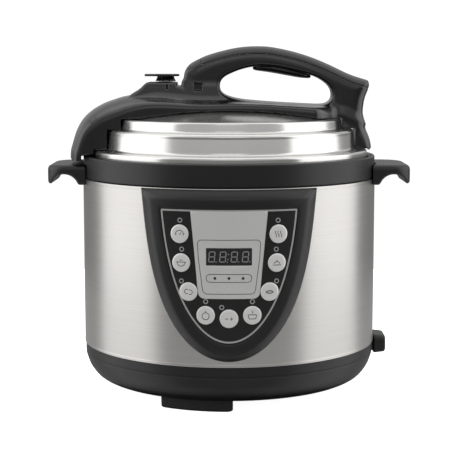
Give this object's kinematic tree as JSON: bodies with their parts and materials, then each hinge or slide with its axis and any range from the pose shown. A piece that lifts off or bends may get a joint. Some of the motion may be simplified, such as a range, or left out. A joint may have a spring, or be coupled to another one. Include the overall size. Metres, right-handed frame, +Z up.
{
  "type": "electric pressure cooker",
  "caption": "Round countertop electric pressure cooker with steel body, shield-shaped front control panel, side handles and a bayonet lid with an arched handle and steam valve.",
  "frame": {"origin": "on the floor under the middle of the body's round shell", "axes": "+Z up, the control panel faces -Y, the side handles point along +X and -X, the steam valve is at -X"},
  "size_m": [0.337, 0.2955, 0.3223],
  "materials": {
    "satin_black_plastic": "satin moulded polypropylene",
    "gloss_black_plastic": "polished moulded ABS",
    "rubber_foot": "matt rubber",
    "brushed_steel": "brushed stainless steel",
    "polished_steel": "mirror-polished stainless steel",
    "spun_aluminium": "spun aluminium",
    "cast_aluminium": "turned casting",
    "nonstick_aluminium": "dark non-stick coating",
    "element_steel": "oxidised tube",
    "spring_steel": "spring steel",
    "white_ceramic": "heat-proof moulding",
    "red_plastic": "satin moulding",
    "circuit_board": "solder-masked board",
    "grey_panel": "printed light grey film",
    "display_lens": "smoked window",
    "silver_button": "silver-painted ABS",
    "brass_pin": "plated brass",
    "clear_cup": "translucent polycarbonate",
    "silicone_seal": "translucent silicone"
  },
  "bodies": {
    "body": {"base": "satin_black_plastic", "foot_front": "rubber_foot", "foot_rear": "rubber_foot", "foot_right": "rubber_foot", "outer_shell": "brushed_steel", "collar": "satin_black_plastic", "side_handle_left": "satin_black_plastic", "side_handle_right": "satin_black_plastic", "outer_pot": "spun_aluminium", "heating_plate": "cast_aluminium", "heating_element": "element_steel", "plate_spring": "spring_steel", "probe_bracket": "spring_steel", "probe_spring": "spring_steel", "thermal_fuse": "white_ceramic", "pressure_switch": "white_ceramic", "power_board": "circuit_board", "control_board": "circuit_board", "display_module": "gloss_black_plastic", "panel_bezel": "satin_black_plastic", "panel_overlay": "gloss_black_plastic", "panel_plate": "grey_panel", "display_lens": "display_lens", "mains_inlet": "satin_black_plastic", "inlet_pin_line": "brass_pin", "inlet_pin_earth": "brass_pin", "inlet_pin_neutral": "brass_pin", "cup_bracket": "satin_black_plastic"},
    "seal": {"sealing_ring": "silicone_seal"},
    "lid": {"lid_pan": "polished_steel", "seal_support_plate": "polished_steel", "lid_cover": "gloss_black_plastic", "handle_top_cover": "gloss_black_plastic", "grip_strip": "gloss_black_plastic", "steam_pipe": "polished_steel", "filter_cap": "polished_steel", "lid_nut": "satin_black_plastic"},
    "float": {"float_pin": "red_plastic", "float_seal": "silicone_seal"},
    "weight": {"valve_weight": "polished_steel"},
    "knob": {"valve_knob": "gloss_black_plastic"},
    "pot": {"inner_pot": "nonstick_aluminium"},
    "cup": {"condensate_cup": "clear_cup"},
    "probe": {"temperature_probe": "cast_aluminium"},
    "plunger": {"switch_plunger": "red_plastic"},
    "button_1": {"button_1": "silver_button"},
    "button_2": {"button_2": "silver_button"},
    "button_3": {"button_3": "silver_button"},
    "button_4": {"button_4": "silver_button"},
    "button_5": {"button_5": "silver_button"},
    "button_6": {"button_6": "silver_button"},
    "button_7": {"button_7": "silver_button"},
    "button_8": {"button_8": "silver_button"},
    "button_9": {"button_9": "silver_button"}
  },
  "joints": [
    {"name": "lid_lift", "type": "slide", "parent": "body", "child": "seal", "axis": [0, 0, 1], "range_m": [0, 0.36]},
    {"name": "lid_turn", "type": "hinge", "parent": "seal", "child": "lid", "pos_m": [0, 0, 0.2267], "axis": [0, 0, 1], "range_deg": [0, 22.5]},
    {"name": "pot_lift", "type": "slide", "parent": "body", "child": "pot", "axis": [0, 0, 1], "range_m": [0, 0.18]},
    {"name": "valve_lift", "type": "slide", "parent": "lid", "child": "weight", "axis": [0, 0, 1], "range_m": [0, 0.003]},
    {"name": "valve_turn", "type": "hinge", "parent": "weight", "child": "knob", "pos_m": [-0.0595, 0, 0.2942], "axis": [0, 0, 1], "range_deg": [0, 40]},
    {"name": "float_rise", "type": "slide", "parent": "lid", "child": "float", "axis": [0, 0, 1], "range_m": [0, 0.004]},
    {"name": "cup_slide", "type": "slide", "parent": "body", "child": "cup", "axis": [0, 1, 0], "range_m": [0, 0.06]},
    {"name": "probe_press", "type": "slide", "parent": "body", "child": "probe", "axis": [0, 0, -1], "range_m": [0, 0.002], "stiffness_N_per_m": 300, "springref_m": -0.003, "deforming": ["probe_spring"]},
    {"name": "switch_press", "type": "slide", "parent": "body", "child": "plunger", "axis": [0, 0, -1], "range_m": [0, 0.0006], "stiffness_N_per_m": 500, "springref_m": -0.001},
    {"name": "button_1_press", "type": "slide", "parent": "body", "child": "button_1", "axis": [0.2902, 0.957, 0], "range_m": [0, 0.0008], "stiffness_N_per_m": 400, "springref_m": -0.001},
    {"name": "button_2_press", "type": "slide", "parent": "body", "child": "button_2", "axis": [0.2817, 0.9595, 0], "range_m": [0, 0.0008], "stiffness_N_per_m": 400, "springref_m": -0.001},
    {"name": "button_3_press", "type": "slide", "parent": "body", "child": "button_3", "axis": [0.239, 0.971, 0], "range_m": [0, 0.0008], "stiffness_N_per_m": 400, "springref_m": -0.001},
    {"name": "button_4_press", "type": "slide", "parent": "body", "child": "button_4", "axis": [0.1375, 0.9905, 0], "range_m": [0, 0.0008], "stiffness_N_per_m": 400, "springref_m": -0.001},
    {"name": "button_5_press", "type": "slide", "parent": "body", "child": "button_5", "axis": [0, 1, 0], "range_m": [0, 0.0008], "stiffness_N_per_m": 400, "springref_m": -0.001},
    {"name": "button_6_press", "type": "slide", "parent": "body", "child": "button_6", "axis": [-0.1375, 0.9905, 0], "range_m": [0, 0.0008], "stiffness_N_per_m": 400, "springref_m": -0.001},
    {"name": "button_7_press", "type": "slide", "parent": "body", "child": "button_7", "axis": [-0.239, 0.971, 0], "range_m": [0, 0.0008], "stiffness_N_per_m": 400, "springref_m": -0.001},
    {"name": "button_8_press", "type": "slide", "parent": "body", "child": "button_8", "axis": [-0.2817, 0.9595, 0], "range_m": [0, 0.0008], "stiffness_N_per_m": 400, "springref_m": -0.001},
    {"name": "button_9_press", "type": "slide", "parent": "body", "child": "button_9", "axis": [-0.2902, 0.957, 0], "range_m": [0, 0.0008], "stiffness_N_per_m": 400, "springref_m": -0.001}
  ],
  "couplings": [
    {"joint": "pot_lift", "follows": "lid_lift", "ratio": 0.5}
  ]
}
